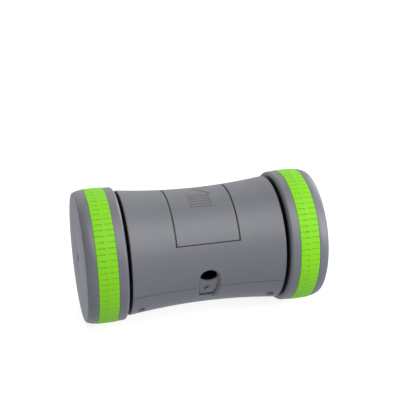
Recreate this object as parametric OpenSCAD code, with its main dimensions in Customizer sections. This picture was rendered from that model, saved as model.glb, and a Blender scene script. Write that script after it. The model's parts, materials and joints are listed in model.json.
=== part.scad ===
// Roaming treat dispenser: a waisted drum with a driven wheel at each end.
// The wheels turn about the X axis, the outlet faces -Y and the floor is at z = 0.
// Angles round that axis start at the front: 90 is the top, 180 the back, 270 the bottom.

/* [Wheels] */
// Diameter over the tread
tyre_d = 116; // [112:1:122]
// Width of the rubber band
tyre_w = 16.8; // [13:0.2:22]
// Thickness of the rubber band
tyre_t = 4.2; // [3:0.1:5]
// How far the tread stands out from the rims beside it
tread_step = 0.5; // [0.4:0.05:1.4]
// Number of lugs round the tread
lug_count = 72; // [48:4:96]
// Width of the cuts between lugs
lug_cut_w = 1; // [0.6:0.1:1.6]
// Depth of the cuts between lugs
lug_cut_depth = 0.8; // [0.4:0.1:1.4]
// Plain rib left between the two rows of cuts
lug_rib_w = 1.6; // [1.4:0.2:4]
// Bevel along the edges of the tread
tread_bevel = 0.5; // [0.2:0.1:1]
// Width of the rim on the drum's side
inner_rim_w = 8.6; // [7:0.2:12]
// Width of the rim on the outer side
outer_rim_w = 8.9; // [7:0.1:12]
// Diameter of the flat outer face
face_d = 108.2; // [106:0.2:110]
// Thickness of the outer face
face_t = 2.4; // [2:0.1:3]
// Rounding between the outer face and its rim
face_round = 1.6; // [0.8:0.1:2]
// Diameter of the flat inner face
back_d = 110.2; // [106:0.2:112]
// Thickness of the back plate
back_t = 2.4; // [2:0.1:3]
// How far the inner rim's rounding reaches along the axis
back_round = 3.4; // [2:0.1:5]
// Wall of the drum under the rubber band
rim_t = 2; // [1.5:0.1:3]
// Diameter of the hub
hub_d = 14; // [12:0.5:18]
// Number of webs between hub and rim
web_count = 6; // [3:3:9]
// Thickness of a web
web_t = 1.6; // [1.2:0.1:2.4]
// Diameter of the circle of screws in the back plate
wheel_screw_circle_d = 60; // [50:1:70]

/* [Drum] */
// Length between the drum's end faces
body_len = 132.2; // [130:0.2:140]
// Diameter at the ends
body_end_d = 108.3; // [106:0.1:110]
// Diameter at the waist
body_waist_d = 99.8; // [98:0.1:103]
// Wall of the shells
wall_t = 2.2; // [1.8:0.1:2.6]
// Gap between the drum and each wheel
wheel_gap = 2.6; // [2:0.1:4]
// Rounding of the drum's end edges
end_round = 1.2; // [0.5:0.1:1.6]
// How far the seam between the shells lies below the axis
seam_drop = 16.6; // [14:0.2:18]
// Open seam between the shells, over the lip behind it
seam_gap = 0.35; // [0.2:0.05:0.6]
// Thickness of that lip
lip_t = 1.2; // [0.8:0.1:1.6]

/* [Lid] */
// Width of the lid
lid_w = 53.2; // [48:0.2:54]
// Thickness of the lid
lid_t = 2.4; // [2.2:0.1:2.8]
// Angle of the lid's front edge
lid_front = 27.6; // [25:0.1:30]
// Angle that the lid covers
lid_arc = 92.4; // [88:0.2:93]
// Angle that the lid slides back
lid_travel = 66; // [60:1:67]
// Gap round the lid
lid_gap = 0.9; // [0.6:0.1:1.2]
// Bevel along the curved edges of the lid and the battery door
panel_bevel = 0.4; // [0.2:0.1:0.6]
// Thickness of the deck that the lid slides on
deck_t = 1.8; // [1.5:0.1:2.2]
// Width of the fill opening
fill_w = 44; // [36:1:46]
// How far the tongue on each side of the lid reaches into its groove
tongue_w = 2.3; // [1.8:0.1:2.8]
// Thickness of the tongue
tongue_t = 1; // [0.8:0.1:1.2]
// Length of the arrow-shaped grip
grip_len = 30; // [24:1:34]
// Width of the grip's shaft
grip_w = 19; // [14:1:22]
// Width of the grip's head
grip_head_w = 24; // [20:1:28]
// Length of the grip's head
grip_head_len = 12.6; // [8:0.2:16]
// Angle of the middle of the grip
grip_angle = 82; // [74:1:84]
// Depth of the grip's field
grip_depth = 0.2; // [0.15:0.05:0.5]
// Number of ribs across the grip
grip_ribs = 5; // [3:1:6]
// Width of a rib
grip_rib_w = 1.5; // [1:0.1:2]

/* [Outlet] */
// Width of the opening at the inside of the wall
outlet_w = 16.6; // [12:0.2:17]
// Angle of the middle of the recess
outlet_angle = -18.5; // [-21:0.5:-17]
// Half length of the recess at the inside of the wall, upwards
outlet_up = 17.3; // [15:0.1:18]
// Half length of the recess at the inside of the wall, downwards
outlet_down = 18.4; // [16:0.1:19]
// Corner radius at the recess's lower end
outlet_corner = 4.2; // [3.4:0.1:6]
// Width of the slider
slider_w = 18.4; // [17.6:0.2:20]
// Thickness of the slider
slider_t = 1.6; // [1.4:0.1:2]
// Angle of the slider's top corners
slider_top = -7; // [-8:0.5:-6]
// Angle of the slider's lower edge
slider_bottom = -46; // [-48:0.5:-45]
// Angle of the lowest point of the scoop in its top edge
scoop_low = -14.5; // [-16:0.5:-13]
// Radius of the scoop
scoop_r = 9.3; // [9.2:0.1:11]
// Angle of the slider's nub
nub_angle = -25; // [-27:0.5:-23]
// Diameter of the nub
nub_d = 4.6; // [3:0.1:6]
// How far the nub stands out
nub_h = 1.7; // [1:0.1:2]
// Angle that the slider rises to close the outlet
slider_rise = 15; // [12:0.5:15]
// Angle that the slider drops to open it further
slider_fall = 5; // [2:0.5:5]

/* [Treat bin] */
// Gap between the bin and each motor
bin_motor_gap = 2.2; // [2:0.1:3.6]
// Wall of the bin
bin_t = 1.6; // [1.2:0.1:2]
// Height of the floor's front edge above the battery tray, which leaves room for the leads
floor_rise = 7.8; // [6.8:0.1:9.8]
// Slope of the floor down to the outlet
floor_slope = 8; // [5:0.5:10]
// Width of the mouth through the bin's front wall
mouth_w = 14; // [11:0.5:15]
// Width of the guides beside the slider
guide_w = 1.8; // [1.4:0.1:2.4]

/* [Batteries] */
// Diameter of a cell
cell_d = 14.5; // [13.5:0.1:14.5]
// Length of a cell with its button
cell_len = 50.5; // [49:0.1:50.5]
// Distance between cells
cell_pitch = 15; // [14.8:0.1:15.2]
// Room for a pressed contact spring
spring_len = 4.7; // [4:0.1:5]
// Wall of the battery tray
tray_t = 1.4; // [1.2:0.1:1.6]
// Thickness of the contact plates
contact_t = 0.4; // [0.3:0.1:0.6]
// Thickness of the battery door
door_t = 1.4; // [1.2:0.1:1.5]
// How far the door overlaps the tray on three sides
door_lap = 3; // [2.2:0.1:3.4]
// How far the door reaches past its screw
door_tab = 4.6; // [4.2:0.1:5.4]

/* [Drive] */
// Diameter of the axle
axle_d = 5; // [4:0.5:6]
// Diameter of the axle bushes
bush_d = 8; // [7.5:0.1:9]
// Diameter of the gear pins
pin_d = 2; // [1.5:0.1:2]
// Diameter of a motor
motor_d = 15.5; // [14:0.1:16]
// Width of a motor across its flats
motor_flat_w = 12; // [11:0.1:13]
// Length of a motor
motor_len = 19.5; // [17:0.1:19.8]
// Diameter of a motor's shaft
motor_shaft_d = 1.5; // [1.2:0.1:2]
// Teeth of the pinion
pinion_teeth = 9; // [9:1:11]
// Teeth of the first gear's wheel
first_wheel_teeth = 36; // [32:1:36]
// Teeth of the first gear's own pinion
first_pinion_teeth = 10; // [10:1:12]
// Teeth of the second gear's wheel
second_wheel_teeth = 34; // [30:1:34]
// Teeth of the second gear's own pinion
second_pinion_teeth = 10; // [10:1:12]
// Teeth of the output gear
output_teeth = 36; // [32:1:36]
// Module of the pinion's mesh
first_module = 0.5; // [0.45:0.05:0.5]
// Module of the mesh between the first and second gears
second_module = 0.6; // [0.55:0.05:0.6]
// Module of the output gear's mesh
third_module = 0.8; // [0.75:0.05:0.8]
// Thickness of the gears
gear_t = 2.6; // [2:0.1:2.7]
// Wall of the gear case
case_t = 1.6; // [1.2:0.1:2]
// Thickness of the gear cover
cover_t = 1.2; // [1:0.1:1.6]

/* [Controls] */
// Distance of the button from the drum's end face
button_inset = 22.1; // [21.2:0.1:23]
// Height of the button above the axis
button_rise = 4; // [2:0.5:6]
// Diameter of the button
button_d = 9; // [7:0.1:10]
// How far the button stands out
button_proud = 0.8; // [0.6:0.1:1.2]
// How far the button travels
button_travel = 1.2; // [0.6:0.1:1.2]
// Distance between the drum's wall at the button and the control board
board_room = 11.6; // [11.2:0.1:12]
// Length of the control board
board_len = 32; // [28:1:34]
// Width of the control board
board_w = 18; // [16:0.5:18.4]
// Thickness of the control board
board_t = 1.6; // [1:0.1:1.6]
// Diameter of the leads
lead_d = 1.2; // [0.8:0.1:1.4]

/* [Screws] */
// Diameter of the screws that hold the shells
shell_screw_d = 3; // [2.5:0.1:3]
// Length of the screws that hold the shells
shell_screw_len = 19; // [16:0.5:19]
// Distance of the shell screws from the drum's end faces
shell_screw_inset = 9.1; // [8.1:0.1:11]
// Distance of the shell screws from the axis, front and back
shell_screw_y = 39; // [37:0.5:39]
// Diameter of the recess under each shell screw
shell_recess_d = 6.6; // [6:0.1:7]
// Depth of the shell screws' seats below the seam
shell_seat = 10; // [8:0.5:11]
// Diameter of the small screws
small_screw_d = 2; // [1.6:0.1:2.2]
// Length of the treat bin's screws
bin_screw_len = 9; // [6:0.5:9]
// Length of the control board's screws
board_screw_len = 6; // [5:0.5:6.5]
// Length of the gear cases' screws
case_screw_len = 8; // [6:0.5:8]
// Length of the battery door's screw
door_screw_len = 5.5; // [4.5:0.5:5.5]
// Length of the screws in the wheels' back plates
wheel_screw_len = 10; // [8:0.5:14]
// Length of the screw in each wheel's hub
hub_screw_len = 8; // [6:0.5:12]

/* [Clearances] */
// Radial clearance of a running fit
run_fit = 0.05; // [0.02:0.01:0.08]
// Radial clearance of a seated fit
seat_fit = 0.02; // [0.01:0.01:0.05]
// Clearance of sliding and loosely fitted pieces
slide_gap = 0.25; // [0.2:0.05:0.35]

/* [Hidden] */

// Facets of round faces, of the long arc along the drum and of small blends
fine = 96;
arc_fine = 720;
blend_fine = 32;

// Colours of the object
grey = [0.42, 0.43, 0.46];
dark = [0.10, 0.10, 0.11];
green = [0.42, 0.80, 0.12];
steel = [0.72, 0.73, 0.75];
brass = [0.80, 0.64, 0.30];
white = [0.88, 0.88, 0.85];
board_green = [0.08, 0.35, 0.18];

// Larger than the whole object
far = 200;
// What one piece of a solid reaches into the next
sink = 0.4;

// Drum
axle_z = tyre_d / 2;
body_half = body_len / 2;
waist_r = body_waist_d / 2;
end_r = body_end_d / 2;
// The sag of the drum's side: below zero on a barrel, and never quite straight
skin_sag = end_r == waist_r ? 0.001 : end_r - waist_r;
skin_arc_r = (body_half ^ 2 + skin_sag ^ 2) / (2 * skin_sag);
skin_centre_r = waist_r + skin_arc_r;
skin_reach = max(end_r, waist_r) + wall_t;
end_wall_x = body_half - wall_t;
inside_r = waist_r - wall_t;
seam_z = axle_z - seam_drop;
seam_angle = asin(seam_drop / waist_r);

// Lid, its deck and its track
lid_half = lid_w / 2;
pocket_half = lid_half + lid_gap;
pocket_depth = lid_t + slide_gap;
deck_depth = pocket_depth + deck_t;
tongue_half = lid_half + tongue_w;
groove_half = tongue_half + slide_gap;
deck_half = groove_half + deck_t;
gap_angle = lid_gap / waist_r * 180 / PI;
lid_back = lid_front + lid_arc;
track_back = lid_back + lid_travel + gap_angle;
deck_front = lid_front - gap_angle - 4;
deck_back = track_back + 4;
fill_front = lid_front + 5;
fill_back = lid_front + lid_travel - 2;
tongue_r = skin_r(pocket_half, lid_t) + 0.1;
grip_floor_r = waist_r - grip_depth;
grip_top = grip_len / 2;
grip_shoulder = grip_top - grip_head_len;
grip_pitch = (grip_shoulder + grip_top) / (grip_ribs + 0.5);

// Drive
axle_r = axle_d / 2;
bush_r = bush_d / 2;
pin_r = pin_d / 2;
case_room = 1;
axial_gap = 0.4;
cover_in_x = end_wall_x - cover_t;
plane_3 = cover_in_x - axial_gap - gear_t;
plane_2 = plane_3 - axial_gap - gear_t;
plane_1 = plane_2 - axial_gap - gear_t;
case_floor_x = plane_1 - axial_gap;
case_in_x = case_floor_x - case_t;
motor_back_x = case_in_x - motor_len;
axle_in_x = case_in_x - 2.8;
third_distance = third_module * (output_teeth + second_pinion_teeth) / 2;
second_distance = second_module * (second_wheel_teeth + first_pinion_teeth) / 2;
first_distance = first_module * (first_wheel_teeth + pinion_teeth) / 2;
second_way = -40;
first_way = 210;
pinion_way = 190;
output_at = [0, 0];
second_at = output_at + third_distance * [cos(second_way), sin(second_way)];
first_at = second_at + second_distance * [cos(first_way), sin(first_way)];
motor_at = first_at + first_distance * [cos(pinion_way), sin(pinion_way)];
ear_post_r = 2.8;
ear_ways = [39, 141, 197];
ear_t = 2;
ear_distance = tip_r(third_module, output_teeth) + case_room + case_t + ear_post_r + 0.5;
motor_screw_distance = 5;
motor_tag_len = 0.8;
motor_tag_apart = 3;

// Batteries
tray_half_x = (cell_len + spring_len + 2 * contact_t) / 2;
tray_half_y = cell_pitch + cell_d / 2 + 0.5;
door_in_r = inside_r - 0.2;
cell_drop = sqrt(door_in_r ^ 2 - cell_pitch ^ 2) - cell_d / 2 - 0.9;
tray_roof = cell_drop - cell_d / 2 - 0.5;
door_half = tray_half_x + door_lap;
door_front = 270 + asin((tray_half_y + door_lap) / waist_r);
door_boss_r = small_screw_d / 2 + 2.4;
door_boss_t = 1;
door_screw_angle = 270 - asin((tray_half_y + tray_t + door_boss_r + 0.8) / waist_r);
door_back = door_screw_angle - door_tab / waist_r * 180 / PI;
door_seat_r = waist_r - 1.4;
contact_half = 4.5;
tab_half = 1.5;
tab_top = tray_roof - tray_t - 2.2;
tray_top = tray_t - tray_roof;

// Outlet, slider and treat bin
slider_out_r = inside_r - 2 * slide_gap;
slider_in_r = slider_out_r - slider_t;
bin_r = slider_in_r - slide_gap;
bin_half = motor_back_x - bin_motor_gap;
floor_drop = -tray_top - floor_rise;
guide_in = slider_w / 2 + slide_gap;
guide_out = guide_in + guide_w;
skirt_bottom = slider_bottom - slider_fall - 1;
guide_top = slider_top + slider_rise + 1;
scoop_s = slider_out_r * sin(scoop_low - outlet_angle) + scoop_r;
mouth_top = bin_r * sin(-0.5 - outlet_angle);
mouth_bottom = bin_r * sin(-asin((floor_drop - 0.6) / bin_r) - outlet_angle);
floor_front_y = -bin_r * cos(asin(floor_drop / bin_r));
bin_tab_t = 2;
bin_boss_r = 3;
bin_screw_x = bin_half + bin_boss_r + 0.5;
bin_screw_y = 30;

// Wheels
wheel_in_x = body_half + wheel_gap;
tyre_in_x = wheel_in_x + inner_rim_w;
tyre_out_x = tyre_in_x + tyre_w;
wheel_out_x = tyre_out_x + outer_rim_w;
axle_out_x = wheel_out_x - face_t;
tyre_r = tyre_d / 2;
rim_r = tyre_r - tread_step;
drum_r = tyre_r - tyre_t;
drum_in_r = drum_r - rim_t;
face_r = face_d / 2;
back_r = back_d / 2;
hub_r = hub_d / 2;
hub_recess_d = 6;
hub_recess_depth = 1.6;
hub_screw_r = 1.25;
wheel_screw_r = 1.25;
wheel_boss_r = 4;
wheel_head_r = 2.6;
wheel_head_t = 1.6;

// Shell screws
shell_screw_x = body_half - shell_screw_inset;

// Controls
button_x = body_half - button_inset;
board_y = skin_r(button_x, wall_t) - board_room;
board_low = -12;
board_left = button_x - board_w / 2;
switch_h = 3.5;
plunger_h = 1.5;
button_r = button_d / 2;
button_y = sqrt(skin_r(button_x) ^ 2 - button_rise ^ 2) + button_proud;
button_flange_r = button_r + 1.5;
button_flange_y = sqrt(skin_r(button_x, wall_t) ^ 2 - (button_rise + button_flange_r) ^ 2) - 0.4;
board_posts = [
    [board_left + 3, board_low + board_len - 3],
    [board_left + board_w - 3, board_low + 3]
];
board_post_r = 2.4;
chip_w = 7;
chip_t = 1.6;
chip_at = [board_left + 5, board_low + 11];
driver_w = 4;
driver_len = 6;
driver_t = 1.4;
driver_at = [board_left + 14, board_low + 20];
capacitor_r = 2.5;
capacitor_h = 7;
capacitor_at = [board_left + 6, board_low + 23];

// Routes of the leads, relative to the middle of the axis, from each terminal to the board
motor_lead_x = motor_back_x - motor_tag_len - lead_d / 2 - 0.1;
tab_lead_z = -tab_top + lead_d / 2 + 0.1;
tab_lead_x = tray_half_x - 0.6;
board_lead_y = board_y - 0.3;
lead_bend_y = board_y - 3;
lead_end_z = board_low + 2;
// Where each lead meets the board, counted from its left edge
function lead_end_x(i) = board_left + 1.2 + 1.8 * i;
function lead_end(i) = [
    [lead_end_x(i), lead_bend_y, lead_end_z], [lead_end_x(i), board_lead_y, lead_end_z]
];
right_motor_routes = [
    concat(
        [
            [motor_lead_x, motor_at[0] + motor_tag_apart, motor_at[1]],
            [motor_lead_x + 0.3, 2, tray_top + 6.8], [motor_lead_x + 0.9, 14, tray_top + 7.3],
            [board_left - 2, 26, tray_top + 10.8]
        ],
        lead_end(0)
    ),
    concat(
        [
            [motor_lead_x, motor_at[0] - motor_tag_apart, motor_at[1]],
            [motor_lead_x + 0.1, -9, tray_top + 2.4], [motor_lead_x + 0.6, 6, tray_top + 2.8],
            [motor_lead_x + 1.8, 18, tray_top + 4.8], [board_left, 29, tray_top + 9.8]
        ],
        lead_end(1)
    )
];
left_motor_routes = [
    concat(
        [
            [-motor_lead_x, -motor_at[0] - motor_tag_apart, motor_at[1]],
            [1.7 - motor_lead_x, 12, tray_top + 6.8], [-10, 22, tray_top + 6.8],
            [18, 27, tray_top + 7.3], [board_left - 1, 32, tray_top + 8.8]
        ],
        lead_end(3)
    ),
    concat(
        [
            [-motor_lead_x, -motor_at[0] + motor_tag_apart, motor_at[1]],
            [2.7 - motor_lead_x, 18, tray_top + 8.3], [-10, 26, tray_top + 9.3],
            [18, 31, tray_top + 9.8], [board_left - 1, 34.5, tray_top + 10.8]
        ],
        lead_end(2)
    )
];
battery_routes = [
    concat(
        [
            [tab_lead_x, cell_pitch, tab_lead_z], [tray_half_x + 0.6, 20, tray_top + 3.4],
            [board_left - 2, 28, tray_top + 4.6], [board_left + 6, 33.5, tray_top + 8.3]
        ],
        lead_end(4)
    ),
    concat(
        [
            [-tab_lead_x, -cell_pitch, tab_lead_z], [-24, -8, tray_top + 3.4],
            [0, 10, tray_top + 3.4], [20, 25, tray_top + 3.6], [board_left - 1, 33, tray_top + 4.8],
            [board_left + 9, 35.5, tray_top + 8.8]
        ],
        lead_end(5)
    )
];

// Radius of the drum's surface at a distance x from its middle, moved inwards by inset
function skin_r(x, inset = 0) =
    skin_centre_r - sign(skin_arc_r) * sqrt((skin_arc_r + inset) ^ 2 - x ^ 2);

// Spur gears with stub teeth
pressure = 25;
backlash = 0.1;
function tip_r(module_size, teeth) = module_size * (teeth / 2 + 0.8);
function root_r(module_size, teeth) = module_size * (teeth / 2 - 1.05);
function involute(angle) = tan(angle) * 180 / PI - angle;
function half_tooth(r, pitch_r, teeth) =
    let (base_r = pitch_r * cos(pressure))
    90 / teeth - backlash / (2 * pitch_r) * 180 / PI + involute(pressure)
        - involute(acos(min(1, base_r / r)));
function gear_outline(module_size, teeth, turn) =
    let (
        pitch_r = module_size * teeth / 2,
        flank = [
            root_r(module_size, teeth), pitch_r - 0.4 * module_size,
            pitch_r + 0.2 * module_size, tip_r(module_size, teeth)
        ],
        sides = concat([for (i = [0 : 3]) [flank[i], -1]], [for (i = [3 : -1 : 0]) [flank[i], 1]])
    )
    [
        for (tooth = [0 : teeth - 1])
            for (side = sides)
                let (angle = turn + tooth * 360 / teeth + side[1] * half_tooth(side[0], pitch_r, teeth))
                    side[0] * [cos(angle), sin(angle)]
    ];

// A smooth line through a few points: steps on each stretch between two of them
function line_point(points, i) = points[max(0, min(len(points) - 1, i))];
function smooth(points, steps) = concat(
    [
        for (i = [0 : len(points) - 2])
            for (k = [0 : steps - 1])
                let (
                    t = k / steps,
                    a = line_point(points, i - 1),
                    b = line_point(points, i),
                    c = line_point(points, i + 1),
                    d = line_point(points, i + 2)
                )
                0.5 * (2 * b + (c - a) * t + (2 * a - 5 * b + 4 * c - d) * t ^ 2
                    + (3 * b - a - 3 * c + d) * t ^ 3)
    ],
    [points[len(points) - 1]]
);
function unit(v) = v / norm(v);

// A round tube along a line of points, whose facets are lined up by the way given in ref
module tube(points, r, sides, ref) {
    last = len(points) - 1;
    rings = [
        for (i = [0 : last])
            let (
                way = unit(line_point(points, i + 1) - line_point(points, i - 1)),
                across = unit(cross(way, ref)),
                up = cross(across, way)
            )
            for (k = [0 : sides - 1])
                points[i] + r * (cos(k * 360 / sides) * across + sin(k * 360 / sides) * up)
    ];
    walls = [
        for (i = [0 : last - 1])
            for (k = [0 : sides - 1])
                let (
                    here = i * sides + k,
                    beside = i * sides + (k + 1) % sides
                )
                each [[here, beside, beside + sides], [here, beside + sides, here + sides]]
    ];
    caps = [
        for (k = [1 : sides - 2])
            each [[0, k + 1, k], [last * sides, last * sides + k, last * sides + k + 1]]
    ];
    polyhedron(points = rings, faces = concat(walls, caps));
}

// Turns a half profile, drawn as radius and x, about the axis between two angles
module turned(from = 0, to = 360) {
    translate([0, 0, axle_z])
        rotate([90, 0, -90])
            rotate_extrude(angle = to - from, start = from, $fn = fine)
                mirror([0, 1])
                    children();
}

// Extrudes an outline, drawn as y and height above the axis, from one x to another
module along_x(from, to, at = [0, 0]) {
    translate([from, at[0], axle_z + at[1]])
        rotate([90, 0, 90])
            linear_extrude(to - from)
                children();
}

// A cylinder along X
module rod_x(from, to, r, at = [0, 0]) {
    along_x(from, to, at)
        circle(r = r, $fn = fine);
}

// A cylinder along Z, given by heights above the axis
module rod_z(from, to, r, x, y) {
    translate([x, y, axle_z + from])
        cylinder(h = to - from, r = r, $fn = fine);
}

// A cylinder along Y
module rod_y(from, to, r, x, z) {
    translate([x, from, axle_z + z])
        rotate([-90, 0, 0])
            cylinder(h = to - from, r = r, $fn = fine);
}

// A box given by its corners, with heights above the axis
module block(low, high) {
    translate([low[0], low[1], axle_z + low[2]])
        cube(high - low);
}

// Looks at the axis from an angle: local y runs up the surface, local z is the distance from the axis
module facing(angle) {
    translate([0, 0, axle_z])
        rotate([90 - angle, 0, 0])
            children();
}

// The left side is the right side turned half round
module side(left) {
    rotate([0, 0, left ? 180 : 0])
        children();
}

// The strip that half sections of the drum are cut from
module skin_strip(half) {
    translate([0, -half])
        square([skin_reach, 2 * half]);
}

// The circle along the drum's side, moved inwards by inset
module skin_circle(inset) {
    translate([skin_centre_r, 0])
        circle(r = abs(skin_arc_r + inset), $fn = arc_fine);
}

// Half section of the drum, moved inwards by inset and cut off at a half length
module body_profile(inset, half) {
    if (skin_sag > 0)
        difference() {
            skin_strip(half);
            skin_circle(inset);
        }
    else
        intersection() {
            skin_strip(half);
            skin_circle(inset);
        }
}

// Half section of a plate under the drum's surface, between two insets
module skin_profile(outer, inner, half) {
    difference() {
        body_profile(outer, half);
        body_profile(inner, half + 1);
    }
}

// Half section of everything above an inset
module outside_profile(inset, half) {
    difference() {
        skin_strip(half);
        body_profile(inset, half + 1);
    }
}

// A square turned on its corner, which bevels an edge when it is cut away
module bevel(size) {
    rotate(45)
        square(size * sqrt(2), center = true);
}

// Both shells as one hollow drum
module drum() {
    turned()
        difference() {
            body_profile(0, body_half);
            body_profile(wall_t, end_wall_x);
            for (end = [0, 1])
                mirror([0, end])
                    end_corner();
        }
}

// What the rounding of an end edge takes off the drum's half section
module end_corner() {
    past = 2 * end_round;
    middle = [skin_r(body_half - end_round, end_round), body_half - end_round];
    out = ([skin_centre_r, 0] - middle) / (skin_arc_r + end_round);
    difference() {
        polygon([middle, middle + past * out, middle + past * (out + [0, 1]), middle + [0, past]]);
        translate(middle)
            circle(r = end_round, $fn = fine);
    }
}

// The space inside the skin, which trims posts and walls
module drum_core() {
    turned()
        body_profile(wall_t / 2, body_half - wall_t / 2);
}

// Outline of the outlet's recess, grown by an amount
module outlet_outline(grow) {
    half = outlet_w / 2 + grow;
    corner = outlet_corner + grow;
    hull() {
        translate([0, outlet_up + grow - half])
            circle(r = half, $fn = 2 * blend_fine);
        for (way = [-1, 1])
            translate([way * (half - corner), corner - outlet_down - grow])
                circle(r = corner, $fn = blend_fine);
    }
}

// The recess of the outlet, with its wide bevel
module outlet_recess() {
    low = 3;
    high = wall_t + 1.5;
    facing(outlet_angle)
        hull() {
            translate([0, 0, inside_r - low])
                linear_extrude(0.01)
                    outlet_outline(-low);
            translate([0, 0, inside_r + high])
                linear_extrude(0.01)
                    outlet_outline(high);
        }
}

module upper_shell() {
    color(grey)
    difference() {
        union() {
            intersection() {
                drum();
                block([-far, -far, -seam_drop], [far, far, far]);
            }
            turned(deck_front, deck_back)
                skin_profile(wall_t - sink, deck_depth, deck_half);
            for (x = [-1, 1]) {
                for (y = [-1, 1]) {
                    upper_screw_post(x, y);
                    bin_boss(x, y);
                }
            }
            for (left = [false, true])
                side(left)
                    for (way = ear_ways)
                        rod_x(case_floor_x + ear_t, end_wall_x + sink, ear_post_r,
                            ear_distance * [cos(way), sin(way)]);
            for (at = board_posts)
                intersection() {
                    rod_y(board_y + board_t, far, board_post_r, at[0], at[1]);
                    drum_core();
                }
        }
        lid_pocket();
        turned(fill_front, fill_back)
            translate([inside_r / 2, -fill_w / 2])
                square([inside_r, fill_w]);
        outlet_recess();
        rod_y(button_flange_y, far, button_r + slide_gap, button_x, button_rise);
        for (left = [false, true])
            side(left) {
                rod_x(end_wall_x - sink, body_half + sink, bush_r + seat_fit);
                for (way = ear_ways)
                    rod_x(case_floor_x, end_wall_x - 1, small_screw_d / 2 + seat_fit,
                        ear_distance * [cos(way), sin(way)]);
            }
        for (x = [-1, 1])
            for (y = [-1, 1]) {
                rod_z(-seam_drop - 1, shell_screw_len - shell_seat - seam_drop + 2,
                    shell_screw_d / 2 + seat_fit, x * shell_screw_x, y * shell_screw_y);
                rod_z(-1, bin_screw_len, small_screw_d / 2 + seat_fit, x * bin_screw_x, y * bin_screw_y);
            }
        for (at = board_posts)
            rod_y(board_y, board_y + board_screw_len + 1, small_screw_d / 2 + seat_fit, at[0], at[1]);
    }
}

// The lid's flush pocket, its track at the back and the grooves for its tongues
module lid_pocket() {
    turned(lid_front - gap_angle, track_back) {
        outside_profile(pocket_depth, pocket_half);
        for (way = [-1, 1])
            translate([skin_r(pocket_half), way * pocket_half])
                bevel(panel_bevel);
        translate([tongue_r - slide_gap, -groove_half])
            square([tongue_t + 2 * slide_gap, 2 * groove_half]);
    }
}

// A post for a shell screw, with a web to the end wall
module upper_screw_post(x, y) {
    post_r = shell_screw_d / 2 + 2;
    post_web_t = 2;
    top = 0;
    rod_z(-seam_drop, top, post_r, x * shell_screw_x, y * shell_screw_y);
    mirror([x < 0 ? 1 : 0, 0, 0])
        block([shell_screw_x, y * shell_screw_y - post_web_t / 2, -seam_drop],
            [end_wall_x + sink, y * shell_screw_y + post_web_t / 2, top]);
}

// A boss that carries one corner of the treat bin
module bin_boss(x, y) {
    intersection() {
        rod_z(0, far, bin_boss_r, x * bin_screw_x, y * bin_screw_y);
        drum_core();
    }
}

module lower_shell() {
    color(grey)
    difference() {
        union() {
            intersection() {
                drum();
                block([-far, -far, -far], [far, far, -seam_drop - seam_gap]);
            }
            seam_lip(-seam_angle);
            mirror([0, 1, 0])
                seam_lip(-seam_angle);
            battery_tray();
            for (x = [-1, 1])
                for (y = [-1, 1])
                    intersection() {
                        rod_z(-far, -seam_drop, shell_recess_d / 2 + 1.5,
                            x * shell_screw_x, y * shell_screw_y);
                        drum_core();
                    }
        }
        block([-tray_half_x, -tray_half_y, -far], [tray_half_x, tray_half_y, -tray_roof]);
        for (end = [-1, 1])
            contact_slot(end);
        turned(door_back - 0.4, door_front + 0.4)
            outside_profile(door_t + 0.05, door_half + slide_gap);
        facing(door_screw_angle) {
            translate([0, 0, door_seat_r - door_screw_len - 0.5])
                cylinder(h = far, r = small_screw_d / 2 + seat_fit, $fn = fine);
            translate([0, 0, waist_r - door_t - door_boss_t - 0.05])
                cylinder(h = far, r = door_boss_r + slide_gap, $fn = fine);
        }
        outlet_recess();
        for (x = [-1, 1])
            for (y = [-1, 1]) {
                rod_z(-far, -seam_drop - shell_seat, shell_recess_d / 2,
                    x * shell_screw_x, y * shell_screw_y);
                rod_z(-far, 0, shell_screw_d / 2 + seat_fit, x * shell_screw_x, y * shell_screw_y);
            }
    }
}

// The lip that stands up behind the seam in front, clear of the slider's guides
module seam_lip(at) {
    depth = wall_t + 0.15;
    lip_half = end_wall_x - 4;
    clear_half = guide_out + 3;
    turned(at - 7, at + 3)
        difference() {
            skin_profile(depth, depth + lip_t, lip_half);
            translate([0, -clear_half])
                square([far, 2 * clear_half]);
        }
    turned(at - 7, at - 1)
        difference() {
            skin_profile(wall_t - sink, depth + lip_t, lip_half);
            translate([0, -clear_half])
                square([far, 2 * clear_half]);
        }
}

// The walls and roof round the cells, and the post for the door's screw
module battery_tray() {
    intersection() {
        union() {
            block([-tray_half_x - tray_t, -tray_half_y - tray_t, -far],
                [tray_half_x + tray_t, tray_half_y + tray_t, tray_t - tray_roof]);
            facing(door_screw_angle)
                translate([0, 0, door_seat_r - door_screw_len - 1.5])
                    cylinder(h = far, r = door_boss_r + slide_gap + 1.2, $fn = fine);
        }
        drum_core();
    }
}

// A slot in the tray's roof for the solder tab of one free contact
module contact_slot(end) {
    room = 0.2;
    rotate([0, 0, end < 0 ? 180 : 0])
        block([tray_half_x - contact_t - room, cell_pitch - tab_half - room, -tray_roof - 1],
            [tray_half_x + room, cell_pitch + tab_half + room, tray_t - tray_roof + 1]);
}

// A screw along local Z: its head starts at zero and its shank points up
module screw(d, length, head_d, head_t) {
    cylinder(h = length, r = d / 2, $fn = fine);
    difference() {
        translate([0, 0, -head_t])
            cylinder(h = head_t, r = head_d / 2, $fn = fine);
        for (turn = [0, 90])
            rotate([0, 0, turn])
                translate([0, 0, -head_t])
                    cube([head_d * 0.6, head_d * 0.16, head_t * 0.9], center = true);
    }
}

module shell_screws() {
    head_t = 2;
    color(dark)
    for (x = [-1, 1])
        for (y = [-1, 1])
            translate([x * shell_screw_x, y * shell_screw_y, seam_z - shell_seat])
                screw(shell_screw_d, shell_screw_len, shell_recess_d - 1, head_t);
}

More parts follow.
